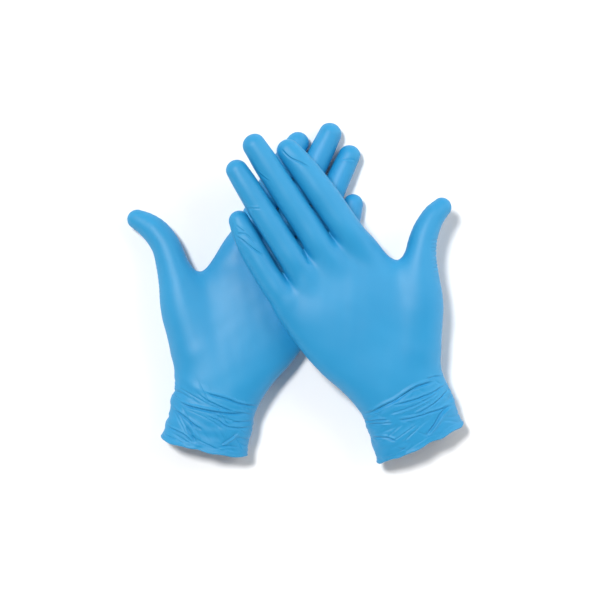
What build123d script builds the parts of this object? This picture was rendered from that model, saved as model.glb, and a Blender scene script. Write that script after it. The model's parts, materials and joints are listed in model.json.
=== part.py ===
from build123d import *
import math
import os

# A pair of disposable nitrile gloves that keep the shape of the hands they fit.
# They lie crossed on a flat surface with their palms up: the upper glove leans across the lower one.
# Each glove is a thin hollow film, open at its cuff. Its regions are separate solids, because the
# fingers and the thumb bend where the film creases.
#
# Glove frame: X runs across the palm towards the thumb, Y from the wrist to the fingertips, Z up.
# Its origin is the middle of the wrist, at the level that the back of the glove lies on.

# Film
FILM = 0.6            # wall of the film
BEAD_GROWTH = 0.45    # how far the rolled rim stands proud of the film, inside and out
REST_FLAT = 0.7       # how much of the round underside is pressed flat where a glove lies

# Cuff and palm as ellipses across the glove: distance from the wrist, edge away from the thumb,
# edge on the thumb side, half thickness
CUFF_SECTIONS = ((-46.0, -39.0, 25.5, 16.0), (-22.0, -36.0, 29.0, 16.5), (0.0, -31.0, 31.2, 17.5))
PALM_SECTIONS = ((0.0, -31.0, 31.2, 17.5), (22.0, -35.5, 43.0, 17.0), (50.0, -43.5, 52.0, 16.0),
                 (80.0, -46.0, 42.5, 14.0), (110.0, -47.0, 34.5, 11.5))
RIM_HEIGHT = 16.0     # height at which the rim crosses the glove's axis
RIM_WIDTH = 4.5       # width of the rolled rim

# Fingers: root in the palm, middle of the rounded tip, radius at each, distance of the hinge from the wrist
FINGERS = {
    "index": dict(root=(23.8, 104.0), tip=(16.0, 181.6), radii=(10.6, 7.9), hinge_y=130.0),
    "middle": dict(root=(2.0, 104.0), tip=(-1.8, 195.8), radii=(9.9, 8.2), hinge_y=130.0),
    "ring": dict(root=(-18.7, 100.0), tip=(-20.8, 186.8), radii=(9.4, 7.7), hinge_y=127.0),
    "little": dict(root=(-38.4, 88.0), tip=(-36.6, 156.2), radii=(8.6, 7.3), hinge_y=121.0),
}
FINGER_REACH = 1.27   # radius of the round knuckle cut, in finger radii at the hinge
KNUCKLE_GAP = 0.5     # running gap of a knuckle that bends
KNUCKLE_MARGIN = 0.4  # room in the palm beside the base of a finger

# Thumb: shared sizes, then what differs between the two gloves
THUMB_RADII = (13.0, 10.9, 6.8)       # in the palm, at the hinge, at the tip
THUMB_ROOT_HEIGHT = 16.9
THUMB_HINGE_HEIGHT = 13.0

# The two gloves: side of the thumb, size against the driving dimensions, place of the wrist,
# turn about Z, lift of the fingertips, lift of the little-finger side, droop of the fingers, where
# the rim crosses the glove's axis and how it slants across the cuff and leans, then the thumb: its
# root, hinge, heading, bend and length; and which fingers bend
UPPER = dict(name="upper", side=1, scale=1.0, wrist=(69.8, -66.0), turn=29.9, pitch=10.5, roll=5.0,
             droop=7.0, rim_y=-38.5, rim_slant=6.0, rim_lean=0.0,
             thumb_root=(30.0, 28.0), thumb_hinge=(60.5, 76.2), thumb_heading=55.0,
             thumb_bend=-40.0, thumb_length=32.6, bending=("thumb", "index", "middle", "ring", "little"))
LOWER = dict(name="lower", side=-1, scale=0.975, wrist=(-53.2, -67.0), turn=-23.2, pitch=0.0, roll=0.0,
             droop=0.0, rim_y=-41.0, rim_slant=11.6, rim_lean=12.0,
             thumb_root=(30.0, 27.0), thumb_hinge=(63.8, 70.3), thumb_heading=50.0,
             thumb_bend=-44.0, thumb_length=40.2, bending=("thumb",))

FAR = 300.0           # longer than a glove: the size of the blocks that trim it
SPARE = 8.0           # how far a form runs on past the plane that trims it
WRIST = Plane(origin=(0, 0, 0), x_dir=(0, 0, 1), z_dir=(0, 1, 0))


def cross_section(section, side, growth):
    """An ellipse across the glove, grown by so much all round."""
    y, away_edge, thumb_edge, half_thickness = section
    middle = side * (away_edge + thumb_edge) / 2
    plane = Plane(origin=(middle, y, half_thickness), x_dir=(1, 0, 0), z_dir=(0, 1, 0))
    return plane * Ellipse((thumb_edge - away_edge) / 2 + growth, half_thickness + growth)


def hull(sections, side, growth, floor):
    """The loft through a row of sections, flat on its underside."""
    body = loft([cross_section(section, side, growth) for section in sections])
    return body - Pos(0, 0, floor - FAR / 2) * Box(2 * FAR, 2 * FAR, FAR)


def lengthened(sections, before, after):
    """The same row of sections, carried on past its ends by so much."""
    first, last = sections[0], sections[-1]
    row = list(sections)
    if before:
        row.insert(0, (first[0] - before,) + first[1:])
    if after:
        row.append((last[0] + after,) + last[1:])
    return tuple(row)


def rim_plane(glove, inwards):
    """The slanted plane of the rim, moved so far into the cuff; its normal points at the fingers."""
    slant, lean = (math.tan(math.radians(glove[angle])) for angle in ("rim_slant", "rim_lean"))
    normal = Vector(glove["side"] * slant, 1, lean).normalized()
    crossing = Vector(0, glove["rim_y"], RIM_HEIGHT) * glove["scale"]
    return Plane(origin=crossing + normal * inwards, z_dir=normal)


def beyond(plane):
    """Everything on the far side of a plane, as a block."""
    return plane * Pos(0, 0, FAR / 2) * Box(2 * FAR, 2 * FAR, FAR)


def centre_line(start, heading, bend, length, travel):
    """A point and heading on a line that turns evenly by bend over its length."""
    if travel <= 0:
        angle = math.radians(heading)
        return Vector(start) + Vector(math.cos(angle), math.sin(angle), 0) * travel, heading
    turn = math.radians(bend * travel / length)
    chord = travel if turn == 0 else travel * math.sin(turn / 2) / (turn / 2)
    angle = math.radians(heading) + turn / 2
    point = Vector(start) + Vector(math.cos(angle), math.sin(angle), 0) * chord
    return point, heading + math.degrees(turn)


class Limb:
    """One finger or thumb: its hinge, its centre line and its round sections."""

    def __init__(self, hinge, heading, bend, length, rise, radii, root, root_radius):
        self.hinge = Vector(hinge)
        self.heading = heading
        self.bend = bend
        self.length = length
        self.rise = rise
        self.radii = radii
        self.root = Vector(root)
        self.root_radius = root_radius
        self.cut_radius = FINGER_REACH * radii[0]
        self.base_radius = radii[0] + (radii[0] - radii[1]) * self.cut_radius / length
        self.direction = self.normal_at(heading)
        self.lateral = Vector(self.direction.Y, -self.direction.X, 0).normalized()

    def normal_at(self, heading):
        angle = math.radians(heading)
        return Vector(math.cos(angle), math.sin(angle), self.rise / self.length).normalized()

    def station(self, travel):
        """Plane and radius of the round section at a distance from the hinge."""
        point, heading = centre_line(self.hinge, self.heading, self.bend, self.length, travel)
        share = travel / self.length
        point += Vector(0, 0, self.rise * share)
        radius = self.radii[0] + (self.radii[1] - self.radii[0]) * share
        return Plane(origin=point, x_dir=(0, 0, 1), z_dir=self.normal_at(heading)), radius

    def body(self, shrink):
        """The closed form of the stall, from behind the hinge to its rounded tip."""
        stations = [self.station(self.length * share) for share in (0.0, 0.25, 0.5, 0.75, 1.0)]
        stations.insert(0, self.station(-self.cut_radius - 2))
        skins = [plane * Circle(radius - shrink) for plane, radius in stations]
        tip_plane, tip_radius = stations[-1]
        tip = tip_plane * Sphere(tip_radius - shrink)
        return loft(skins) + (tip & beyond(tip_plane))

    def root_body(self, shrink, extra):
        """The round root that joins the palm to the hinge."""
        way = self.hinge - self.root
        plane = Plane(origin=self.root, z_dir=way.normalized())
        height = way.length + extra
        cone = Cone(self.root_radius - shrink, self.radii[0] - shrink, height)
        return plane * Pos(0, 0, height / 2) * cone

    def knuckle(self, radius, width):
        """The cylinder about the hinge line."""
        return Plane(origin=self.hinge, z_dir=self.lateral) * Cylinder(radius, width)


def finger(name, glove):
    """The limb of one finger."""
    side, scale = glove["side"], glove["scale"]
    sizes = FINGERS[name]
    root_x, root_y = (value * scale for value in sizes["root"])
    tip_x, tip_y = (value * scale for value in sizes["tip"])
    hinge_y = sizes["hinge_y"] * scale
    share = (hinge_y - root_y) / (tip_y - root_y)
    radius_root, radius_tip = (value * scale for value in sizes["radii"])
    radius_hinge = radius_root + (radius_tip - radius_root) * share
    hinge = (side * (root_x + (tip_x - root_x) * share), hinge_y, radius_hinge + REST_FLAT)
    root = (side * root_x, root_y, radius_root + REST_FLAT)
    heading = math.degrees(math.atan2(tip_y - root_y, side * (tip_x - root_x)))
    length = math.hypot(tip_x - root_x, tip_y - root_y) * (1 - share)
    rise = radius_tip - radius_hinge - glove["droop"]
    return Limb(hinge, heading, 0.0, length, rise, (radius_hinge, radius_tip), root, radius_root)


def thumb(glove):
    """The limb of the thumb, which bends away from the fingers."""
    side, scale = glove["side"], glove["scale"]
    radius_root, radius_hinge, radius_tip = (value * scale for value in THUMB_RADII)
    root_x, root_y = (value * scale for value in glove["thumb_root"])
    hinge_x, hinge_y = (value * scale for value in glove["thumb_hinge"])
    heading = glove["thumb_heading"]
    if side < 0:
        heading = 180 - heading
    rise = radius_tip - radius_hinge
    return Limb((side * hinge_x, hinge_y, THUMB_HINGE_HEIGHT * scale), heading, side * glove["thumb_bend"],
                glove["thumb_length"] * scale, rise, (radius_hinge, radius_tip),
                (side * root_x, root_y, THUMB_ROOT_HEIGHT * scale), radius_root)


def scaled(sections, scale):
    return tuple(tuple(value * scale for value in section) for section in sections)


def cuff_parts(glove):
    """The sleeve of the cuff and its rolled rim."""
    side = glove["side"]
    sections = lengthened(scaled(CUFF_SECTIONS, glove["scale"]), SPARE, SPARE)
    shell = hull(sections, side, 0.0, REST_FLAT) - hull(sections, side, -FILM, REST_FLAT + FILM)
    sleeve = (shell & beyond(rim_plane(glove, RIM_WIDTH))) - beyond(WRIST)
    wall = FILM + BEAD_GROWTH
    rim = hull(sections, side, BEAD_GROWTH, REST_FLAT) - hull(sections, side, -wall, REST_FLAT + wall)
    rim = (rim & beyond(rim_plane(glove, 0.0))) - beyond(rim_plane(glove, RIM_WIDTH))
    return sleeve, rim


def palm_part(glove, limbs):
    """The palm, with a short round root for every finger and the thumb."""
    side = glove["side"]
    sections = lengthened(scaled(PALM_SECTIONS, glove["scale"]), SPARE, 0)
    solid = hull(sections, side, 0.0, REST_FLAT) & beyond(WRIST)
    inner_end = (sections[-1][0] - FILM,) + sections[-1][1:]
    bore = hull(sections[:-1] + (inner_end,), side, -FILM, REST_FLAT + FILM)
    floor_block = Pos(0, 0, REST_FLAT - FAR / 2) * Box(2 * FAR, 2 * FAR, FAR)
    for limb in limbs.values():
        solid += limb.root_body(0.0, 0.0)
        bore += limb.root_body(FILM, 0.4)
    shell = solid - floor_block - bore
    for name, limb in limbs.items():
        gap = KNUCKLE_GAP if name in glove["bending"] else 0.0
        shell -= limb.knuckle(limb.cut_radius + gap, 2 * (limb.base_radius + KNUCKLE_MARGIN))
    return shell


def stall_part(limb):
    """One hollow finger or thumb, rounded at its tip and cut to a knuckle at its base."""
    shell = limb.body(0.0) - limb.body(FILM)
    behind = Plane(origin=limb.hinge, x_dir=limb.lateral, z_dir=-limb.direction)
    return shell - (beyond(behind) - limb.knuckle(limb.cut_radius, FAR))


def placement(glove):
    """Where a glove lies: turned about Z, leaned on its rim and set at its wrist."""
    lean = Rot(glove["pitch"], 0, 0) * Rot(0, glove["side"] * glove["roll"], 0)
    return Pos(glove["wrist"][0], glove["wrist"][1], 0) * Rot(0, 0, glove["turn"]) * lean


def build_glove(glove):
    """Every region of one glove by name, and its limbs, in the glove frame."""
    limbs = {"thumb": thumb(glove)}
    for name in FINGERS:
        limbs[name] = finger(name, glove)
    sleeve, rim = cuff_parts(glove)
    parts = {"cuff": sleeve, "rolled_rim": rim, "palm": palm_part(glove, limbs)}
    for name, limb in limbs.items():
        parts[name + "_stall"] = stall_part(limb)
    return parts, limbs


def lowest(shape):
    return shape.bounding_box().min.Z


def assemble():
    """The pair, standing on Z = 0 with the middle of its box over the origin."""
    placed = {}
    frames = {}
    for glove in (LOWER, UPPER):
        parts, limbs = build_glove(glove)
        where = placement(glove)
        ground = min(lowest(part.moved(where)) for part in parts.values())
        where = Pos(0, 0, -ground) * where
        frames[glove["name"]] = (where, limbs)
        for name, part in parts.items():
            placed[glove["name"] + "_" + name] = part.moved(where)
    boxes = [part.bounding_box() for part in placed.values()]
    middle_x = (min(box.min.X for box in boxes) + max(box.max.X for box in boxes)) / 2
    middle_y = (min(box.min.Y for box in boxes) + max(box.max.Y for box in boxes)) / 2
    centre = Pos(-middle_x, -middle_y, 0)
    placed = {name: part.moved(centre) for name, part in placed.items()}
    frames = {name: (centre * where, limbs) for name, (where, limbs) in frames.items()}
    return placed, frames


PARTS, FRAMES = assemble()
os.makedirs("parts", exist_ok=True)
for node, solid in PARTS.items():
    export_step(solid, "parts/" + node + ".step")
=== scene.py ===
import json
import math

import bmesh
import bpy
import numpy as np
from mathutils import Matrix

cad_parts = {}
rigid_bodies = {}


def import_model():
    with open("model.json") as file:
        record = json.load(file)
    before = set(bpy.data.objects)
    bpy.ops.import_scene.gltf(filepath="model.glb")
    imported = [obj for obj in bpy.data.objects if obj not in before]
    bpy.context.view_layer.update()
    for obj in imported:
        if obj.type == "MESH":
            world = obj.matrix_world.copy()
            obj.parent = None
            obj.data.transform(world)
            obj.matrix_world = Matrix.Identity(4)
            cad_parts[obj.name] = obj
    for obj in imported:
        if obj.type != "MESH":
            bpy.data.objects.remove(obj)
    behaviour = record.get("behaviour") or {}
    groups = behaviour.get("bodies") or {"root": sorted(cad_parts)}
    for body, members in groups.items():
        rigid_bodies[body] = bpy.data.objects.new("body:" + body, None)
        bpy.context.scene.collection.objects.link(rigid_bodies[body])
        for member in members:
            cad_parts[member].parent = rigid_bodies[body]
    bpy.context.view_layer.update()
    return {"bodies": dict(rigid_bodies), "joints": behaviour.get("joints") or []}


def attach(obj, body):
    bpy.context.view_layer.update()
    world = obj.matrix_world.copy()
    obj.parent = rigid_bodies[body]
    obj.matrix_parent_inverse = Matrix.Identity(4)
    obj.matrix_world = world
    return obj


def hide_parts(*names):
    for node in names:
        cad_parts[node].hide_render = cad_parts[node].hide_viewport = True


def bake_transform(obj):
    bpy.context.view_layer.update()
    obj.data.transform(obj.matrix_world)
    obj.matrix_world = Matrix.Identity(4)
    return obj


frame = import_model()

import openvdb
from mathutils import Euler, Vector

# A crossed pair of blue nitrile gloves. Each glove is designed in millimetres in its own frame:
# X towards the thumb, Y from the wrist to the fingertips, Z up from the surface it lies on.
# Its skin is the zero level of a distance field, meshed once for each region and then creased,
# given a film thickness and carried to its place in the frame.
MM = 0.001

# ---------------------------------------------------------------- sizes

FILM = 0.4              # thickness of the visible film
REST_FLAT = 0.7         # how far the underside is pressed flat
CUFF_STEP = 0.5         # mesh steps, fine where the film is creased
PALM_STEP = 0.95
STALL_STEP = 0.7
NORMAL_ROUNDS = 6       # how often the normals are evened out with their neighbours
UNDER = -3.0            # the level under the gloves where the search for their skin starts

RIM_HEIGHT = 16.0       # height at which the rim crosses the middle of the cuff
RIM_WIDTH = 4.5         # rolled rim along the cuff and through it
RIM_THICKNESS = 1.1
RIM_BEAD = 1.5          # how much thicker it is near its edge
BEAD_INSET = 0.9        # how far in from the edge the bead is thickest, and how far it spreads
BEAD_SPREAD = 0.65
RIM_STEP = 0.9          # mesh step along the rim, and sides round it
RIM_SIDES = 24
RIM_WOBBLE = 0.35       # how far the rim strays to either side

# Cuff and palm: distance from the wrist, edge away from the thumb, edge on its side, half thickness
BODY_STATIONS = (
    (-50.0, -39.3, 25.0, 15.6), (-30.0, -36.8, 28.0, 16.2), (-14.0, -33.6, 30.8, 17.0),
    (-3.0, -31.2, 31.4, 17.3), (8.0, -32.0, 32.6, 17.3), (22.0, -35.2, 36.0, 16.9),
    (38.0, -40.6, 39.0, 16.0), (55.0, -44.4, 40.8, 15.2), (75.0, -46.2, 40.4, 13.8),
    (92.0, -46.8, 37.4, 11.7), (106.0, -46.8, 34.0, 9.9), (120.0, -46.0, 31.0, 8.2),
)
PALM_END = ((-50.0, 93.0), (-28.0, 103.5), (-8.0, 112.0), (12.0, 112.5), (36.0, 107.0))

# Fingers as centre lines: across, along, radius
FINGERS = {
    "index": ((26.0, 84.0, 9.0), (24.5, 101.0, 10.4), (22.9, 118.0, 10.6), (21.3, 137.0, 10.6),
              (19.7, 153.0, 10.3), (18.0, 168.0, 9.5), (16.3, 180.5, 8.0)),
    "middle": ((2.4, 84.0, 9.0), (1.9, 102.0, 10.2), (1.4, 119.0, 10.3), (0.9, 138.0, 10.1),
               (0.1, 158.0, 9.8), (-0.9, 177.0, 9.3), (-2.0, 195.2, 8.3)),
    "ring": ((-17.9, 80.0, 8.6), (-18.4, 98.0, 9.8), (-18.9, 116.0, 10.0), (-19.5, 135.0, 9.8),
             (-20.2, 155.0, 9.4), (-20.6, 172.0, 9.0), (-20.8, 186.2, 8.0)),
    "little": ((-35.8, 68.0, 7.8), (-37.0, 85.0, 9.1), (-37.8, 100.0, 9.4), (-38.5, 115.0, 9.2),
               (-38.6, 132.0, 9.0), (-37.8, 146.0, 8.4), (-36.6, 156.2, 7.3)),
}
# Where each finger leaves the palm, and how far it takes to bend from there
SEAMS = {"index": 120.5, "middle": 120.5, "ring": 119.0, "little": 112.0}
BENDS = {"index": 19.0, "middle": 19.0, "ring": 16.0, "little": 17.0, "thumb": 20.0}
# Planes between neighbouring fingers, as two points each
PARTINGS = (
    ("index", "middle", (12.1, 118.0), (7.7, 182.0)),
    ("middle", "ring", (-8.8, 118.0), (-11.6, 182.0)),
    ("ring", "little", (-29.0, 110.0), (-28.8, 156.0)),
)
WEB_BLEND = 5.0
THUMB_BLEND = 15.0
NEAR = 12.0             # beyond this a form no longer shapes its neighbours
FAR = 40.0
PARTING_GAP = 0.25
PARTING_ROUND = 1.6
PARTING_BEFORE, PARTING_AFTER = 14.0, 6.0   # a parting comes in from before its start to after it,
PARTING_AWAY = 8.0      # and is this far off until then
ROOT_RISE = 0.6         # how much higher a finger lies at its root than at its tip
CUFF_FADE = (-14.0, 2.0)    # where a slimmer cuff becomes as wide as the palm's heel
PALM_END_ROUND = 9.0
SQUARENESS = 2.35       # of the section of cuff and palm: 2 would be an ellipse
PRESS_ROUND = 2.5       # how softly the flat underside meets the sides


def smooth_min(a, b, k):
    """The smaller of two fields, rounded over the width k where they meet."""
    h = np.clip(0.5 + 0.5 * (b - a) / k, 0.0, 1.0)
    return b + (a - b) * h - k * h * (1.0 - h)


def smooth_max(a, b, k):
    """The larger of two fields, rounded in the same way."""
    return -smooth_min(-a, -b, k)


def smoothstep(low, high, x):
    """0 up to low and 1 from high, with a smooth rise between them."""
    t = np.clip((x - low) / (high - low), 0.0, 1.0)
    return t * t * (3.0 - 2.0 * t)


def spline(stations, x):
    """Smooth values of every column of the stations at x; the first column holds the positions."""
    table = np.array(stations, float)
    knots, values = table[:, 0], table[:, 1:]
    slopes = np.gradient(values, knots, axis=0)
    x = np.clip(x, knots[0], knots[-1])
    i = np.clip(np.searchsorted(knots, x) - 1, 0, len(knots) - 2)
    width = (knots[i + 1] - knots[i])
    t = (x - knots[i]) / width
    h00, h10 = 2 * t**3 - 3 * t**2 + 1, t**3 - 2 * t**2 + t
    h01, h11 = -2 * t**3 + 3 * t**2, t**3 - t**2
    return [h00 * values[i, c] + h10 * width * slopes[i, c] + h01 * values[i + 1, c]
            + h11 * width * slopes[i + 1, c] for c in range(values.shape[1])]


def round_chain(points, chain):
    """Distance to a tapering round form along a chain of (x, y, z, radius) stations, or FAR from it."""
    table = np.array(chain, float)
    margin = table[:, 3].max() + NEAR
    low, high = table[:, :3].min(axis=0) - margin, table[:, :3].max(axis=0) + margin
    near = ((points > low) & (points < high)).all(axis=1)
    close = points[near]
    best = np.full(len(close), FAR, points.dtype)
    for start, end in zip(table[:-1].astype(points.dtype), table[1:].astype(points.dtype)):
        along, away = end[:3] - start[:3], close - start[:3]
        t = np.clip(away @ along / (along @ along), 0.0, 1.0)
        away = away - t[:, None] * along
        distance = np.sqrt(np.einsum("ij,ij->i", away, away)) - (start[3] + (end[3] - start[3]) * t)
        best = np.minimum(best, distance)
    field = np.full(len(points), FAR, points.dtype)
    field[near] = best
    return field


def refine(chain, parts=4):
    """The same chain with smooth stations between its own."""
    table = np.array(chain, float)
    travel = np.concatenate(([0.0], np.cumsum(np.linalg.norm(np.diff(table[:, :3], axis=0), axis=1))))
    steps = np.linspace(0.0, travel[-1], parts * (len(chain) - 1) + 1)
    columns = spline(np.column_stack((travel, table)), steps)
    return list(zip(*columns))


class Glove:
    """The shape and the place of one glove.

    Its thumb is on the given side of it. It is turned, pitched up towards the fingertips and rolled, all in
    degrees, and its fingers droop and are longer by millimetres at the tip. The rim is where the plane of the
    opening crosses the glove's axis, its slant and its lean; narrow is how much slimmer the cuff is on the
    thumb side. The thumb is a chain of stations, with the hinge that it bends at, its heading there and how
    far along that heading it leaves the palm."""

    def __init__(self, name, side, scale, turn, pitch, roll, droop, longer, rim, narrow, thumb, hinge,
                 heading, seam, creases):
        self.name = name
        self.side = side
        self.scale = scale
        self.droop = droop
        self.longer = longer
        self.rim = rim
        self.narrow = narrow
        self.creases = creases
        self.thumb = refine(thumb)
        self.thumb_way = np.array((math.cos(math.radians(heading)), math.sin(math.radians(heading)), 0.0))
        self.thumb_seam = np.array(hinge) + seam * self.thumb_way
        self.fingers = {finger: refine(self.finger_chain(finger)) for finger in FINGERS}
        pitched = Euler((math.radians(pitch), 0, 0)).to_matrix()
        rolled = Euler((0, math.radians(side * roll), 0)).to_matrix()
        self.rotation = Euler((0, 0, math.radians(turn))).to_matrix() @ (pitched @ rolled)
        joint = next(j for j in frame["joints"] if j["name"] == name + "_thumb_flex")
        local = Vector((side * hinge[0], hinge[1], hinge[2])) * scale * MM
        self.origin = Vector(joint["pos_m"]) - self.rotation @ local

    def finger_chain(self, finger):
        """A finger's stations with their heights, drooping and longer towards the tip."""
        stations = FINGERS[finger]
        root_y, tip_y = stations[2][1], stations[-1][1]
        chain = []
        for x, y, radius in stations:
            share = max(0.0, (y - root_y) / (tip_y - root_y))
            height = radius + REST_FLAT + ROOT_RISE * (1 - share) - self.droop * share
            chain.append((x, y + self.longer * share, height, radius))
        return chain

    def to_world(self, points):
        """Glove millimetres to metres in the frame."""
        placed = points * np.array((self.side, 1.0, 1.0)) * self.scale * MM
        return placed @ np.array(self.rotation).T + np.array(self.origin)

    def direction(self, vectors):
        """Directions of the glove as directions of the frame."""
        return (vectors * np.array((self.side, 1.0, 1.0))) @ np.array(self.rotation).T

    def rim_plane(self, inwards):
        """A point of the plane of the rim, moved so far into the cuff, and its normal towards the fingers."""
        crossing, slant, lean = self.rim
        normal = np.array((math.tan(math.radians(slant)), 1.0, math.tan(math.radians(lean))))
        normal /= np.linalg.norm(normal)
        return np.array((0.0, crossing, RIM_HEIGHT)) + normal * inwards, normal

    # ------------------------------------------------------------ distance fields

    def body_field(self, p):
        """Cuff and palm without the fingers."""
        x, y, z = p[:, 0], p[:, 1], p[:, 2]
        left, right, half = spline(BODY_STATIONS, y)
        right = right - self.narrow * (1 - smoothstep(*CUFF_FADE, y))
        middle, wide = (left + right) / 2, (right - left) / 2
        across, up = (x - middle) / wide, (z - half) / half
        power = SQUARENESS
        rho = (np.abs(across) ** power + np.abs(up) ** power) ** (1 / power) + 1e-9
        slope = np.sqrt((across / wide) ** 2 + (up / half) ** 2) / np.maximum(np.hypot(across, up), 1e-6)
        section = (rho - 1.0) / np.maximum(slope, 1e-3)
        end = np.interp(x, [a for a, _ in PALM_END], [b for _, b in PALM_END])
        return smooth_max(section, y - end, PALM_END_ROUND)

    def finger_field(self, p, finger):
        """One finger, flattened where it meets its neighbours."""
        field = round_chain(p, self.fingers[finger])
        for near, far, start, end in PARTINGS:
            if finger in (near, far):
                along = np.array(end) - np.array(start)
                normal = np.array((along[1], -along[0])) / np.hypot(*along)
                side = (p[:, :2] - np.array(start)) @ normal
                away = -side if finger == near else side
                reach = smoothstep(start[1] - PARTING_BEFORE, start[1] + PARTING_AFTER, p[:, 1])
                field = smooth_max(field, away + PARTING_GAP - PARTING_AWAY * (1 - reach), PARTING_ROUND)
        return field

    def skin(self, fingers):
        """The field of cuff, palm, thumb and the fingers named, pressed flat underneath."""
        def field(p):
            hand = smooth_min(self.body_field(p), round_chain(p, self.thumb), THUMB_BLEND)
            if fingers:
                digits = self.finger_field(p, fingers[0])
                for finger in fingers[1:]:
                    digits = np.minimum(digits, self.finger_field(p, finger))
                hand = smooth_min(hand, digits, WEB_BLEND)
            return smooth_max(hand, REST_FLAT - p[:, 2], PRESS_ROUND)
        return field


THUMB_UPPER = ((28.0, 22.0, 14.4, 13.5), (41.6, 43.6, 15.4, 15.2), (50.6, 61.3, 15.2, 13.1),
               (57.8, 73.0, 14.6, 11.0), (64.2, 80.7, 13.4, 9.9), (72.3, 87.6, 12.2, 8.8),
               (80.9, 92.3, 10.8, 7.8), (87.9, 94.0, 9.6, 6.6))
THUMB_LOWER = ((29.0, 21.0, 14.5, 14.0), (44.8, 42.6, 15.6, 15.4), (56.4, 59.6, 15.2, 13.2),
               (64.8, 69.7, 14.4, 11.3), (73.8, 79.3, 13.2, 10.2), (82.6, 84.7, 12.0, 9.6),
               (91.4, 87.3, 10.6, 8.3), (99.6, 88.1, 9.4, 6.9))

# ---------------------------------------------------------------- meshing

CHUNK = 400000          # points worked out at a time
BAND = 4                # steps to either side of the level within which the field is kept
EVENING = 0.6           # share of the way to the middle of its neighbours that a point moves


def field_mesh(field, low, high, step):
    """Points and quads of the zero level of a field inside a box, evened out and set on it exactly."""
    counts = [int(math.ceil((b - a) / step)) + 1 for a, b in zip(low, high)]
    axes = [a + step * np.arange(n) for a, n in zip(low, counts)]
    grid = np.stack(np.meshgrid(*axes, indexing="ij"), axis=-1).reshape(-1, 3)
    values = np.concatenate([field(part) for part in np.array_split(grid, max(1, len(grid) // CHUNK))])
    values = np.clip(values, -BAND * step, BAND * step).astype(np.float32).reshape(counts)
    level = openvdb.FloatGrid(background=BAND * step)
    level.copyFromArray(values)
    level.transform = openvdb.createLinearTransform(voxelSize=step)
    points, quads = level.convertToQuads(isovalue=0.0)
    points = np.asarray(points, float) + np.array(low)
    quads = np.asarray(quads, int)
    for _ in range(3):
        points = settle(field, relax(points, quads, 2))
    return points, outward(field, points, quads)


def neighbours(quads, count):
    """Every edge of the quads, both ways, and how many each point has."""
    edges = np.concatenate([quads[:, (i, (i + 1) % 4)] for i in range(4)])
    edges = np.unique(np.sort(edges, axis=1), axis=0)
    both = np.concatenate((edges, edges[:, ::-1]))
    degree = np.bincount(both[:, 0], minlength=count)
    return both, np.maximum(degree, 1)


def relax(points, quads, rounds):
    """Moves every point towards the middle of its neighbours."""
    both, degree = neighbours(quads, len(points))
    for _ in range(rounds):
        total = np.zeros_like(points)
        for axis in range(3):
            total[:, axis] = np.bincount(both[:, 0], weights=points[both[:, 1], axis], minlength=len(points))
        points = points + EVENING * (total / degree[:, None] - points)
    return points


def gradient(field, points, reach=0.15):
    """The unit direction in which the field grows."""
    slope = np.zeros_like(points)
    for axis in range(3):
        shift = np.zeros(3)
        shift[axis] = reach
        slope[:, axis] = (field(points + shift) - field(points - shift)) / (2 * reach)
    size = np.linalg.norm(slope, axis=1)
    return slope / np.maximum(size, 1e-9)[:, None], size


def settle(field, points):
    """Sets points back on the zero level."""
    for _ in range(2):
        normal, size = gradient(field, points)
        points = points - normal * (field(points) / np.maximum(size, 0.2))[:, None]
    return points


def outward(field, points, quads):
    """The quads, wound so that their normals point out of the field."""
    a, b, c = (points[quads[:, i]] for i in range(3))
    middle = points[quads].mean(axis=1)
    normal, _ = gradient(field, middle)
    facing = np.einsum("ij,ij->i", np.cross(b - a, c - a), normal)
    return quads[:, ::-1] if np.median(facing) < 0 else quads


def point_normals(points, quads):
    """The unit normal at every point, as the mean of its faces."""
    a, b, c, d = (points[quads[:, i]] for i in range(4))
    face = np.cross(c - a, d - b)
    total = np.zeros_like(points)
    for corner in range(4):
        for axis in range(3):
            total[:, axis] += np.bincount(quads[:, corner], weights=face[:, axis], minlength=len(points))
    return total / np.maximum(np.linalg.norm(total, axis=1), 1e-9)[:, None]


# ---------------------------------------------------------------- wrinkles

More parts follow.
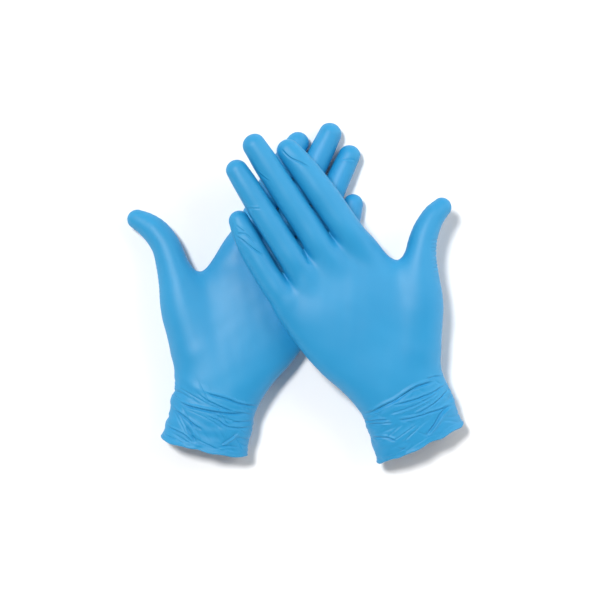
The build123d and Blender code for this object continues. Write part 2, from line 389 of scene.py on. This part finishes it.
# A crease: depth of the valley, its width, height of the bank on its left (or right, when
# negative), and the line it follows over the palm side, across and along
UPPER_CREASES = (
    (1.5, 1.3, 1.1, ((-32.3, 1.5), (-26.3, 0.3), (-16.2, 0.6), (-9.6, 0.1), (8.5, 0.6), (15.0, -0.9),
                     (23.2, -4.1))),
    (0.9, 1.1, 0.6, ((-12.5, -1.5), (-4.9, -4.1), (4.4, -6.7), (10.8, -8.1), (19.8, -9.3), (29.2, -10.7))),
    (0.6, 0.9, -0.4, ((-17.0, -5.8), (-7.2, -8.1), (2.5, -9.8), (12.9, -10.7), (20.3, -11.1))),
    (0.8, 1.1, 0.5, ((-3.0, -15.7), (6.2, -16.0), (15.7, -16.1), (26.8, -14.3))),
    (1.0, 1.1, 0.6, ((-13.9, -12.8), (-4.8, -16.4), (7.6, -19.8), (19.2, -23.0), (25.0, -23.2))),
    (0.7, 0.9, 0.4, ((-32.7, -4.0), (-26.4, -6.0), (-18.8, -9.1))),
    (0.6, 0.9, 0.4, ((-32.7, -6.7), (-26.4, -8.5), (-16.7, -12.7))),
    (0.9, 1.1, 0.6, ((-33.4, -16.2), (-25.9, -19.8), (-21.0, -25.3))),
    (1.3, 1.2, 0.9, ((25.3, -24.1), (15.8, -24.9), (10.6, -27.3), (5.4, -29.9), (-2.5, -32.4))),
    (0.6, 0.9, 0.4, ((17.3, 1.6), (23.7, -0.7), (29.8, -4.6))),
    (0.6, 0.8, 0.35, ((11.8, 186.3), (13.9, 177.4), (18.6, 170.5), (22.3, 164.3))),
    (0.5, 0.8, 0.3, ((-42.4, 161.1), (-40.4, 155.2), (-37.3, 148.0))),
    (0.7, 0.9, 0.4, ((-43.1, 159.8), (-44.5, 150.8), (-41.7, 144.5), (-38.6, 136.3), (-34.1, 127.7))),
    (0.5, 0.8, 0.3, ((-44.5, 150.8), (-39.3, 148.9), (-35.4, 138.3))),
    (0.35, 0.8, 0.2, ((-28.9, 162.4), (-20.9, 158.2))),
    (0.35, 0.8, 0.2, ((-10.4, 186.4), (-9.2, 178.2), (-6.1, 169.6))),
    (0.6, 1.4, 0.0, ((-11.2, 118.8), (-10.1, 113.0), (-11.7, 108.8))),
)
LOWER_CREASES = (
    (1.1, 1.1, -0.6, ((8.0, -4.9), (0.4, -4.3), (-8.9, -3.0), (-18.7, -2.7), (-32.3, 0.8))),
    (0.7, 0.9, -0.4, ((12.5, -6.9), (5.0, -8.9), (-5.2, -9.7), (-15.1, -9.5), (-24.1, -7.6), (-32.6, -5.9))),
    (1.3, 1.2, -1.0, ((23.0, -17.9), (14.3, -18.2), (4.9, -16.8), (-4.1, -14.9), (-12.9, -12.4),
                      (-27.3, -7.3))),
    (1.0, 1.1, -0.6, ((24.1, -24.3), (14.2, -26.1), (5.9, -28.4), (-2.7, -29.9))),
    (0.8, 1.0, -0.5, ((0.5, -19.5), (-9.3, -19.3), (-16.5, -20.7), (-25.3, -18.3), (-33.5, -14.2))),
    (0.6, 0.9, -0.3, ((-18.2, -16.8), (-31.9, -10.6))),
    (0.7, 0.9, -0.4, ((23.7, -37.3), (15.0, -37.6), (8.2, -37.9), (0.2, -41.1))),
    (1.0, 1.8, -0.6, ((9.8, -31.4), (4.4, -35.0), (-1.5, -39.7))),
    (0.6, 0.9, 0.4, ((-16.7, -36.5), (-21.9, -33.3), (-30.7, -30.6))),
    (0.5, 1.0, 0.9, ((-17.6, -34.2), (-22.5, -26.8), (-25.7, -20.7))),
    (0.35, 0.8, 0.2, ((-16.5, 184.0), (-25.9, 187.0))),
)
CREASE_END = 0.2        # share of a crease over which it dies away at each end
CREASE_WIDTH = 0.66     # a crease's real width and depth against those stated
CREASE_DEPTH = 0.92
CREASE_REACH = 5        # widths from its line within which a crease is worked out
BANK_PLACE, BANK_WIDTH = 2.0, 1.2   # place and width of its bank, in widths of the crease
WAVES = 7               # waves summed into one uneven surface
LINE_WIDTH = 0.34       # width of the fine lines against the surface that they follow
LINE_PATCHES = (24.0, 18.0, 24.0)   # lengths of the patches where they show, and the levels between
LINE_FADE = (-0.4, 0.9)             # which they come in
# Uneven waves in the film: height, lengths across, along and up, and a seed. On the cuffs the glove's side
# is added to the seed, so that the two gloves differ.
CUFF_WAVES = ((0.38, (44.0, 13.0, 40.0), 11), (0.14, (19.0, 5.5, 19.0), 21))
CUFF_UNDER_WAVES = (0.45, (30.0, 8.0, 30.0), 31)
ALL_OVER_WAVES = ((0.12, (34.0, 34.0, 34.0), 41), (0.05, (12.0, 16.0, 12.0), 51))
# Fine lines on the cuffs: depth, turn in degrees, lengths and seed, to which twice the side is added
CUFF_LINES = ((0.55, 0.0, (42.0, 8.0, 42.0), 71), (0.42, 38.0, (34.0, 9.0, 34.0), 81))
CUFF_START, CUFF_FULL = 6.0, -8.0   # where the cuff's unevenness begins, and where it is all there
# Fine folds on the outside of the upper thumb: spacing, depth, and the line that they lie along
FOLD_SPACING, FOLD_DEPTH = 2.7, 0.5
FOLD_START, FOLD_END = (60.5, 54.0), (74.5, 82.0)
FOLD_FADE = 6.0         # length over which they come in at either end
FOLD_SIDE = (-7.0, -1.0)    # across the line, where they come in
FOLD_WAVER, FOLD_RATE, FOLD_LEAN = 0.9, 0.55, 0.12   # unevenness of their spacing, and their slant
# Height along the glove at which the back becomes the palm side, and the band over which it does
SIDE_ALONG, SIDE_HEIGHT = (-50.0, 60.0, 110.0, 190.0), (15.0, 14.0, 10.0, 7.0)
SIDE_BAND = (-3.0, 4.0)


def smooth_line(line, parts=5):
    """More points on a smooth curve through those given."""
    table = np.array(line, float)
    travel = np.concatenate(([0.0], np.cumsum(np.linalg.norm(np.diff(table, axis=0), axis=1))))
    steps = np.linspace(0.0, travel[-1], parts * (len(line) - 1) + 1)
    return np.column_stack(spline(np.column_stack((travel, table)), steps)), steps / travel[-1]


def crease_height(points, crease):
    """How far one crease moves the film, for every point."""
    depth, width, bank, line = crease
    depth, width, bank = depth * CREASE_DEPTH, width * CREASE_WIDTH, bank * CREASE_DEPTH
    path, share = smooth_line(line)
    reach = CREASE_REACH * width
    low, high = path.min(axis=0) - reach, path.max(axis=0) + reach
    near = ((points[:, :2] > low) & (points[:, :2] < high)).all(axis=1)
    spot = points[near][:, :2]
    best = np.full(len(spot), FAR)
    across = np.full(len(spot), FAR)
    along = np.zeros(len(spot))
    for i in range(len(path) - 1):
        way = path[i + 1] - path[i]
        away = spot - path[i]
        t = np.clip(away @ way / (way @ way), 0.0, 1.0)
        distance = np.linalg.norm(away - t[:, None] * way, axis=1)
        side = np.where(way[0] * away[:, 1] - way[1] * away[:, 0] > 0, 1.0, -1.0)
        closer = distance < best
        best = np.where(closer, distance, best)
        across = np.where(closer, side * distance, across)
        along = np.where(closer, share[i] + t * (share[i + 1] - share[i]), along)
    fade = smoothstep(0.0, CREASE_END, along) * smoothstep(0.0, CREASE_END, 1.0 - along)
    valley = -depth * np.exp(-(across / width) ** 2)
    bank_side = across * math.copysign(1.0, bank) - BANK_PLACE * width
    rise = abs(bank) * np.exp(-(bank_side / (BANK_WIDTH * width)) ** 2)
    height = np.zeros(len(points))
    height[near] = fade * (valley + rise)
    return height


def fine_lines(points, lengths, seed):
    """Thin valleys along the level lines of an uneven surface, coming and going: 1 in the middle of each."""
    valley = np.exp(-(waves(points, lengths, seed) / LINE_WIDTH) ** 2)
    return valley * smoothstep(*LINE_FADE, waves(points, LINE_PATCHES, seed + 1))


def waves(points, lengths, seed):
    """An uneven, smooth surface between about -1 and 1, with waves of about these lengths."""
    rng = np.random.default_rng(seed)
    total = np.zeros(len(points))
    for _ in range(WAVES):
        way = rng.normal(size=3)
        way *= rng.uniform(0.7, 1.4) / np.linalg.norm(way)
        total += np.sin(2 * math.pi * (points / lengths) @ way + rng.uniform(0.0, 2 * math.pi))
    return total / math.sqrt(WAVES)


def turned(points, angle):
    """The points turned about the height axis, in degrees."""
    c, s = math.cos(math.radians(angle)), math.sin(math.radians(angle))
    return points @ np.array(((c, s, 0.0), (-s, c, 0.0), (0.0, 0.0, 1.0)))


def palm_side(points):
    """1 over the palm side of the glove and 0 under it."""
    middle = np.interp(points[:, 1], SIDE_ALONG, SIDE_HEIGHT)
    return smoothstep(*SIDE_BAND, points[:, 2] - middle)


def thumb_folds(points):
    """Fine folds across the outside of the upper thumb."""
    start, end = np.array(FOLD_START), np.array(FOLD_END)
    length = np.linalg.norm(end - start)
    way = (end - start) / length
    away = points[:, :2] - start
    along, across = away @ way, away @ np.array((way[1], -way[0]))
    phase = 2 * math.pi * along / FOLD_SPACING + FOLD_WAVER * np.sin(along * FOLD_RATE) + FOLD_LEAN * across
    where = smoothstep(0.0, FOLD_FADE, along) * smoothstep(0.0, FOLD_FADE, length - along)
    where = where * smoothstep(*FOLD_SIDE, across)
    return -FOLD_DEPTH * where * np.maximum(np.cos(phase), 0.0) ** 2


def relief(glove, points):
    """How far the creases and waves move the film out of its smooth shape, for every point."""
    cuff = smoothstep(CUFF_START, CUFF_FULL, points[:, 1])
    on_palm_side = palm_side(points)
    height = np.zeros(len(points))
    for rise, lengths, seed in CUFF_WAVES:
        height += cuff * rise * waves(points, lengths, seed + glove.side)
    rise, lengths, seed = CUFF_UNDER_WAVES
    height += cuff * (1 - on_palm_side) * rise * waves(points, lengths, seed + glove.side)
    for depth, turn, lengths, seed in CUFF_LINES:
        height -= cuff * depth * fine_lines(turned(points, turn * glove.side), lengths, seed + 2 * glove.side)
    for rise, lengths, seed in ALL_OVER_WAVES:
        height += rise * waves(points, lengths, seed)
    for crease in glove.creases:
        height += on_palm_side * crease_height(points, crease)
    if glove.side > 0:
        height += thumb_folds(points)
    return height


def wrinkled(glove, points, normals, reach=0.2):
    """The film moved by its relief, and the normals that it shows."""
    slope = np.zeros_like(points)
    for axis in range(3):
        shift = np.zeros(3)
        shift[axis] = reach
        slope[:, axis] = (relief(glove, points + shift) - relief(glove, points - shift)) / (2 * reach)
    slope -= np.einsum("ij,ij->i", slope, normals)[:, None] * normals
    shown = normals - slope
    shown /= np.linalg.norm(shown, axis=1)[:, None]
    return points + normals * relief(glove, points)[:, None], shown


# ---------------------------------------------------------------- pieces

# The boxes in which the skins of cuff and palm are looked for, and a point near the part that is kept
CUFF_BOX = ((-56, -60, UNDER), (46, 9, 42))
CUFF_SEED = (-4, -15, 33)
PALM_BOX = ((-56, -9, UNDER), (79, 128, 42))
PALM_SEED = (0, 50, 32)
CUT_SLACK = 2           # how far before its plane the cut of a finger or thumb may touch faces
THUMB_CUT_WIDTH = 17    # how far from the thumb's line its cut works, towards the palm
RIM_BEYOND = -20        # open edges past this distance along the cuff are the rim's
RIM_WAVES = (16.0, 16.0, 16.0)
RIM_SEED = 61


def region(bm, seed):
    """The points joined to the one nearest the seed."""
    seed = Vector(seed)
    start = min(bm.verts, key=lambda vert: (vert.co - seed).length_squared)
    reached, stack = {start}, [start]
    while stack:
        for edge in stack.pop().link_edges:
            for vert in edge.verts:
                if vert not in reached:
                    reached.add(vert)
                    stack.append(vert)
    return reached


def trimmed(points, normals, quads, cuts, seed):
    """The skin cut at planes, keeping the region at the seed. A cut is a point, the direction that goes away
    and a test that says which faces it works on."""
    mesh = bpy.data.meshes.new("skin")
    mesh.from_pydata(points.tolist(), [], quads.tolist())
    mesh.attributes.new("shown", "FLOAT_VECTOR", "POINT").data.foreach_set("vector", normals.ravel())
    bm = bmesh.new()
    bm.from_mesh(mesh)
    for origin, direction, test in cuts:
        faces = [face for face in bm.faces if test(face.calc_center_median())]
        edges = {edge for face in faces for edge in face.edges}
        verts = {vert for face in faces for vert in face.verts}
        bmesh.ops.bisect_plane(bm, geom=faces + list(edges) + list(verts), dist=1e-4, plane_co=Vector(origin),
                               plane_no=Vector(direction), clear_outer=True)
    kept = region(bm, seed)
    bmesh.ops.delete(bm, geom=[vert for vert in bm.verts if vert not in kept], context="VERTS")
    bm.to_mesh(mesh)
    bm.free()
    count = len(mesh.vertices)
    points, normals = np.zeros(count * 3), np.zeros(count * 3)
    mesh.vertices.foreach_get("co", points)
    mesh.attributes["shown"].data.foreach_get("vector", normals)
    faces = [list(face.vertices) for face in mesh.polygons]
    bpy.data.meshes.remove(mesh)
    normals = normals.reshape(-1, 3)
    return points.reshape(-1, 3), normals / np.linalg.norm(normals, axis=1)[:, None], faces


def open_edges(faces):
    """The edges with a face on one side only, in the direction that face runs."""
    edges = set()
    for face in faces:
        for a, b in zip(face, face[1:] + face[:1]):
            if (b, a) in edges:
                edges.remove((b, a))
            else:
                edges.add((a, b))
    return edges


def show(name, glove, points, normals, faces):
    """Makes an object in the frame from glove millimetres."""
    if glove.side < 0:
        faces = [face[::-1] for face in faces]
    mesh = bpy.data.meshes.new(name)
    mesh.from_pydata(glove.to_world(points).tolist(), [], faces)
    mesh.materials.append(NITRILE)
    mesh.shade_smooth()
    mesh.normals_split_custom_set_from_vertices(glove.direction(normals).tolist())
    obj = bpy.data.objects.new(name, mesh)
    bpy.context.scene.collection.objects.link(obj)
    return obj


def film(name, glove, skin):
    """The closed film on the inside of a skin."""
    points, normals, faces = skin
    count = len(points)
    inside = [[index + count for index in face[::-1]] for face in faces]
    strips = [[b, a, a + count, b + count] for a, b in open_edges(faces)]
    both = np.concatenate((points, points - FILM * normals))
    return show(name, glove, both, np.concatenate((normals, -normals)), faces + inside + strips)


def everywhere(spot):
    """The test of a cut that works on all faces."""
    return True


def region_skin(glove, fingers, low, high, step, cuts, seed):
    """One region of the glove's skin, wrinkled and cut out."""
    field = glove.skin(fingers)
    points, quads = field_mesh(field, low, high, step)
    normals = relax(gradient(field, points)[0], quads, NORMAL_ROUNDS)
    normals /= np.linalg.norm(normals, axis=1)[:, None]
    points, normals = wrinkled(glove, points, normals)
    return trimmed(points, normals, quads, cuts, seed)


def cuff_skin(glove):
    """The cuff, cut at the rim and at the wrist."""
    origin, normal = glove.rim_plane(RIM_WIDTH / 2)
    cuts = ((origin, -normal, everywhere), ((0, 0, 0), (0, 1, 0), everywhere))
    return region_skin(glove, [], *CUFF_BOX, CUFF_STEP, cuts, CUFF_SEED)


def parting_x(near, far, y):
    """Where the plane between two neighbouring fingers lies at a distance from the wrist."""
    start, end = next((a, b) for first, second, a, b in PARTINGS if (first, second) == (near, far))
    return start[0] + (end[0] - start[0]) * (y - start[1]) / (end[1] - start[1])


def palm_skin(glove):
    """The palm, cut at the wrist and at the root of every finger and the thumb."""
    names = list(FINGERS)
    cuts = [((0, 0, 0), (0, -1, 0), everywhere)]
    for place, finger in enumerate(names):
        seam = SEAMS[finger]
        right = parting_x(names[place - 1], finger, seam) if place else FAR * 2
        left = parting_x(finger, names[place + 1], seam) if place + 1 < len(names) else -FAR * 2
        cuts.append(((0, seam, 0), (0, 1, 0), lambda spot, seam=seam, left=left, right=right:
                     spot.y > seam - CUT_SLACK and left < spot.x < right))
    seam, way = Vector(glove.thumb_seam), Vector(glove.thumb_way)
    inward = Vector((-way.y, way.x, 0))
    cuts.append((seam, way, lambda spot: (spot - seam).dot(way) > -CUT_SLACK
                 and (spot - seam).dot(inward) < THUMB_CUT_WIDTH))
    return region_skin(glove, names, *PALM_BOX, PALM_STEP, cuts, PALM_SEED)


def finger_skin(glove, finger):
    """One finger, from where it leaves the palm."""
    chain = np.array(glove.fingers[finger])
    seam = SEAMS[finger]
    low = (chain[:, 0].min() - 15, seam - 8, UNDER - glove.droop)
    high = (chain[:, 0].max() + 15, chain[-1, 1] + 12, 30)
    cuts = (((0, seam, 0), (0, -1, 0), everywhere),)
    return region_skin(glove, [finger], low, high, STALL_STEP, cuts, chain[-1, :3])


def thumb_skin(glove):
    """The thumb, from where it leaves the palm."""
    chain = np.array(glove.thumb)
    low = (glove.thumb_seam[0] - 22, glove.thumb_seam[1] - 24, UNDER)
    high = (chain[-1, 0] + 11, chain[:, 1].max() + 14, 40)
    cuts = ((glove.thumb_seam, -glove.thumb_way, everywhere),)
    return region_skin(glove, [], low, high, STALL_STEP, cuts, chain[-1, :3])


def loop_order(edges):
    """The points of the one loop that these edges make, in order."""
    following = dict(edges)
    start = next(iter(following))
    order = [start]
    while following[order[-1]] != start:
        order.append(following[order[-1]])
    return order


def even_loop(loop, out):
    """A closed row of points and the directions at them, evenly spaced and a little smoother."""
    closed = np.vstack((loop, loop[:1]))
    travel = np.concatenate(([0.0], np.cumsum(np.linalg.norm(np.diff(closed, axis=0), axis=1))))
    count = int(travel[-1] / RIM_STEP)
    steps = np.arange(count) * travel[-1] / count
    columns = np.hstack((loop, out)).T
    even = np.column_stack([np.interp(steps, travel, np.append(column, column[0])) for column in columns])
    for _ in range(3):
        even = (np.roll(even, 1, axis=0) + 2 * even + np.roll(even, -1, axis=0)) / 4
    return even[:, :3], even[:, 3:]


def tube_quads(rings, sides):
    """The quads between neighbouring rings of points, the last ring joined to the first."""
    quads = []
    for here in range(rings):
        there = (here + 1) % rings
        for side in range(sides):
            after = (side + 1) % sides
            quads.append([here * sides + side, here * sides + after,
                          there * sides + after, there * sides + side])
    return np.array(quads)


def rolled_rim(glove, skin):
    """The rolled rim along the open edge of the cuff: a flat band that is thicker near its edge."""
    points, normals, faces = skin
    _, towards_fingers = glove.rim_plane(0.0)
    edges = {(a, b) for a, b in open_edges(faces) if points[a, 1] < RIM_BEYOND}
    order = loop_order(edges)
    loop, out = even_loop(points[order], normals[order])
    count = len(loop)
    tangent = np.roll(loop, -1, axis=0) - np.roll(loop, 1, axis=0)
    tangent /= np.linalg.norm(tangent, axis=1)[:, None]
    out -= np.einsum("ij,ij->i", out, tangent)[:, None] * tangent
    out /= np.linalg.norm(out, axis=1)[:, None]
    away = np.cross(tangent, out)
    away *= -np.sign(away @ towards_fingers)[:, None]
    wobble = RIM_WOBBLE * waves(loop, RIM_WAVES, RIM_SEED + glove.side)
    middle = loop - out * FILM / 2 + away * wobble[:, None]
    rings = []
    for angle in np.linspace(0.0, 2 * math.pi, RIM_SIDES, endpoint=False):
        reach = RIM_WIDTH / 2 * math.cos(angle)
        bead = RIM_BEAD * math.exp(-((reach - RIM_WIDTH / 2 + BEAD_INSET) / BEAD_SPREAD) ** 2)
        rings.append(middle + away * reach + out * (RIM_THICKNESS / 2 + bead / 2) * math.sin(angle))
    ring_points = np.stack(rings, axis=1).reshape(-1, 3)
    quads = tube_quads(count, RIM_SIDES)
    ring_normals = point_normals(ring_points, quads)
    if np.einsum("ij,ij->i", ring_normals, ring_points - np.repeat(middle, RIM_SIDES, axis=0)).mean() < 0:
        quads, ring_normals = quads[:, ::-1], -ring_normals
    return show(glove.name + "_rim", glove, ring_points, ring_normals, quads.tolist())


def world_point(glove, spot):
    """A point in glove millimetres as a vector in the frame."""
    return Vector(glove.to_world(np.array(spot, float)))


def make_glove(glove):
    """Every piece of one glove: cuff, rolled rim and palm, and each finger without a body of its own, on the
    glove's body; the other fingers and the thumb stay where they are in the frame.
    """
    body = glove.name + "_glove"
    cuff = cuff_skin(glove)
    pieces = {
        "cuff": film(glove.name + "_cuff_film", glove, cuff),
        "rolled_rim": rolled_rim(glove, cuff),
        "palm": film(glove.name + "_palm_film", glove, palm_skin(glove)),
    }
    for node, piece in pieces.items():
        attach(piece, body)
        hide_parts(glove.name + "_" + node)
    for finger, seam in SEAMS.items():
        piece = film(glove.name + "_" + finger + "_film", glove, finger_skin(glove, finger))
        chain = np.array(glove.fingers[finger])
        centre = chain[np.abs(chain[:, 1] - seam).argmin()]
        if glove.name + "_" + finger in frame["bodies"]:
            start = world_point(glove, (centre[0], seam, centre[2]))
            end = world_point(glove, (centre[0], seam + BENDS[finger], centre[2]))
            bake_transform(piece)
        else:
            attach(piece, body)
        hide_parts(glove.name + "_" + finger + "_stall")
    piece = film(glove.name + "_thumb_film", glove, thumb_skin(glove))
    start = world_point(glove, glove.thumb_seam)
    end = world_point(glove, glove.thumb_seam + BENDS["thumb"] * glove.thumb_way)
    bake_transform(piece)
    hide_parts(glove.name + "_thumb_stall")


# ---------------------------------------------------------------- material

BLUE_DEEP = (0.004, 0.255, 0.530)
BLUE_LIGHT = (0.012, 0.300, 0.590)
SATIN = (0.48, 0.58)    # roughness of the film, from its smoothest to its roughest patches
PATCHES = 28.0          # scale of the soft patches and of the fine grain
GRAIN = 1600.0
GRAIN_STRENGTH = 0.19
GRAIN_DEPTH = 0.0002    # metres
NITRILE_IOR = 1.45
NITRILE_GLOSS = 0.75
FLOOR_ROUGHNESS = 0.8


def noise(nodes, links, place, scale):
    """Soft noise over the object, with patches that are smaller the larger the scale is."""
    texture = nodes.new("ShaderNodeTexNoise")
    texture.inputs["Scale"].default_value = scale
    texture.inputs["Detail"].default_value = 2.0
    links.new(place.outputs["Object"], texture.inputs["Vector"])
    return texture


def nitrile():
    """Satin blue nitrile: a little lighter and darker in soft patches, with a very fine grain."""
    material = bpy.data.materials.new("nitrile_film")
    material.use_nodes = True
    nodes, links = material.node_tree.nodes, material.node_tree.links
    shader = nodes["Principled BSDF"]
    place = nodes.new("ShaderNodeTexCoord")

    patches = noise(nodes, links, place, PATCHES)

    tint = nodes.new("ShaderNodeMix")
    tint.data_type = "RGBA"
    tint.inputs["A"].default_value = (*BLUE_DEEP, 1.0)
    tint.inputs["B"].default_value = (*BLUE_LIGHT, 1.0)
    links.new(patches.outputs["Fac"], tint.inputs["Factor"])
    links.new(tint.outputs["Result"], shader.inputs["Base Color"])

    sheen = nodes.new("ShaderNodeMapRange")
    sheen.inputs["To Min"].default_value = SATIN[0]
    sheen.inputs["To Max"].default_value = SATIN[1]
    links.new(patches.outputs["Fac"], sheen.inputs["Value"])
    links.new(sheen.outputs["Result"], shader.inputs["Roughness"])

    grain = noise(nodes, links, place, GRAIN)
    bump = nodes.new("ShaderNodeBump")
    bump.inputs["Strength"].default_value = GRAIN_STRENGTH
    bump.inputs["Distance"].default_value = GRAIN_DEPTH
    links.new(grain.outputs["Fac"], bump.inputs["Height"])
    links.new(bump.outputs["Normal"], shader.inputs["Normal"])
    shader.inputs["IOR"].default_value = NITRILE_IOR
    shader.inputs["Specular IOR Level"].default_value = NITRILE_GLOSS
    return material


def plain(name, colour, roughness, glow):
    """A material of one colour, with some light of its own where it glows."""
    material = bpy.data.materials.new(name)
    material.use_nodes = True
    shader = material.node_tree.nodes["Principled BSDF"]
    shader.inputs["Base Color"].default_value = (*colour, 1.0)
    shader.inputs["Roughness"].default_value = roughness
    shader.inputs["Emission Color"].default_value = (*colour, 1.0)
    shader.inputs["Emission Strength"].default_value = glow
    return material


# ---------------------------------------------------------------- studio

# Metres, unless another unit is given
CAMERA_HEIGHT = 2.2
CAMERA_FOCUS = 0.017    # the level at which the camera's field is measured
VIEW_CENTRE = (0.0030, -0.0048)
FIELD = 0.412           # width that the camera sees at that level
SENSOR = 36.0           # millimetres
FLOOR_RADIUS = 2.6      # flat floor, the curve at its edge and the top of the wall
COVE = 0.7
WALL_HEIGHT = 1.3
FLOOR_SIDES = 96
COVE_STEPS = 24
FLOOR_DROP = 0.0002     # how far the floor lies under the gloves
FLOOR_WHITE = (0.97, 0.97, 0.97)
BACKDROP_GLOW = 0.42    # light of its own, so that it stays pale in the shade
SOFTBOX_PLACE = (0.90, 0.50, 0.90)
SOFTBOX_POWER = 5.5     # watts
SOFTBOX_SIZE = 0.8
SUN_PLACE = (-0.46, 0.50, 1.6)
SUN_STRENGTH = 2.5      # watts per square metre
SUN_ANGLE = math.radians(11)
SKY_STRENGTH = 0.19


def staged(name, points, faces, material):
    """A part of the studio, which the model doesn't carry."""
    mesh = bpy.data.meshes.new(name)
    mesh.from_pydata(points, [], faces)
    mesh.materials.append(material)
    mesh.shade_smooth()
    obj = bpy.data.objects.new(name, mesh)
    obj.location.z = -FLOOR_DROP
    bpy.context.scene.collection.objects.link(obj)


def floor():
    """A round pale floor, and a backdrop that curves up from it all the way round."""
    turns = [2 * math.pi * side / FLOOR_SIDES for side in range(FLOOR_SIDES)]
    profile = [(FLOOR_RADIUS, 0.0)]   # reach and height of each ring of points
    for step in range(1, COVE_STEPS + 1):
        angle = math.pi / 2 * step / COVE_STEPS
        profile.append((FLOOR_RADIUS + COVE * math.sin(angle), COVE * (1 - math.cos(angle))))
    profile.append((FLOOR_RADIUS + COVE, WALL_HEIGHT))
    rings = [[(reach * math.cos(turn), reach * math.sin(turn), height) for turn in turns]
             for reach, height in profile]
    faces = []
    for ring in range(len(profile) - 1):
        for side in range(FLOOR_SIDES):
            a, b = ring * FLOOR_SIDES + side, ring * FLOOR_SIDES + (side + 1) % FLOOR_SIDES
            faces.append((a, a + FLOOR_SIDES, b + FLOOR_SIDES, b))
    staged("floor", rings[0], [range(FLOOR_SIDES)], plain("floor_white", FLOOR_WHITE, FLOOR_ROUGHNESS, 0.0))
    backdrop_white = plain("backdrop_white", FLOOR_WHITE, FLOOR_ROUGHNESS, BACKDROP_GLOW)
    staged("backdrop", sum(rings, []), faces, backdrop_white)


def aimed(obj, target):
    """Turns a light to look at a point."""
    obj.rotation_euler = (Vector(target) - obj.location).to_track_quat("-Z", "Y").to_euler()


def light(name, kind, place, strength, size):
    """A sun of a given angle or a square softbox of a given side, pointed at the gloves."""
    lamp = bpy.data.lights.new(name, kind)
    lamp.energy = strength
    if kind == "SUN":
        lamp.angle = size
    else:
        lamp.size = size
    obj = bpy.data.objects.new(name, lamp)
    obj.location = place
    aimed(obj, (0, 0, 0))
    bpy.context.scene.collection.objects.link(obj)


def studio():
    """The floor, a softbox, a soft sun for the cast shadow and a pale sky."""
    floor()
    light("softbox", "AREA", SOFTBOX_PLACE, SOFTBOX_POWER, SOFTBOX_SIZE)
    light("shadow_sun", "SUN", SUN_PLACE, SUN_STRENGTH, SUN_ANGLE)
    world = bpy.data.worlds.new("studio")
    world.use_nodes = True
    sky = world.node_tree.nodes["Background"]
    sky.inputs["Color"].default_value = (1.0, 1.0, 1.0, 1.0)
    sky.inputs["Strength"].default_value = SKY_STRENGTH
    bpy.context.scene.world = world
    bpy.context.scene.view_settings.view_transform = "Standard"


def camera():
    """Looks straight down on the pair."""
    data = bpy.data.cameras.new("camera")
    data.sensor_width = SENSOR
    data.lens = SENSOR * (CAMERA_HEIGHT - CAMERA_FOCUS) / FIELD
    obj = bpy.data.objects.new("camera", data)
    obj.location = (VIEW_CENTRE[0], VIEW_CENTRE[1], CAMERA_HEIGHT)
    bpy.context.scene.collection.objects.link(obj)
    bpy.context.scene.camera = obj


# ---------------------------------------------------------------- the scene

UPPER = Glove("upper", side=1, scale=1.0, turn=29.9, pitch=10.5, roll=5.0, droop=7.0, longer=0.0,
              rim=(-39.2, 6.0, 0.0), narrow=0.0, thumb=THUMB_UPPER, hinge=(60.5, 76.2, 13.0), heading=55.0,
              seam=-4.0, creases=UPPER_CREASES)
LOWER = Glove("lower", side=-1, scale=0.975, turn=-23.2, pitch=0.0, roll=0.0, droop=0.0, longer=1.8,
              rim=(-42.0, 11.6, 12.0), narrow=3.0, thumb=THUMB_LOWER, hinge=(63.8, 70.3, 13.0), heading=50.0,
              seam=-6.0, creases=LOWER_CREASES)
NITRILE = nitrile()
for each in (UPPER, LOWER):
    make_glove(each)
studio()
camera()
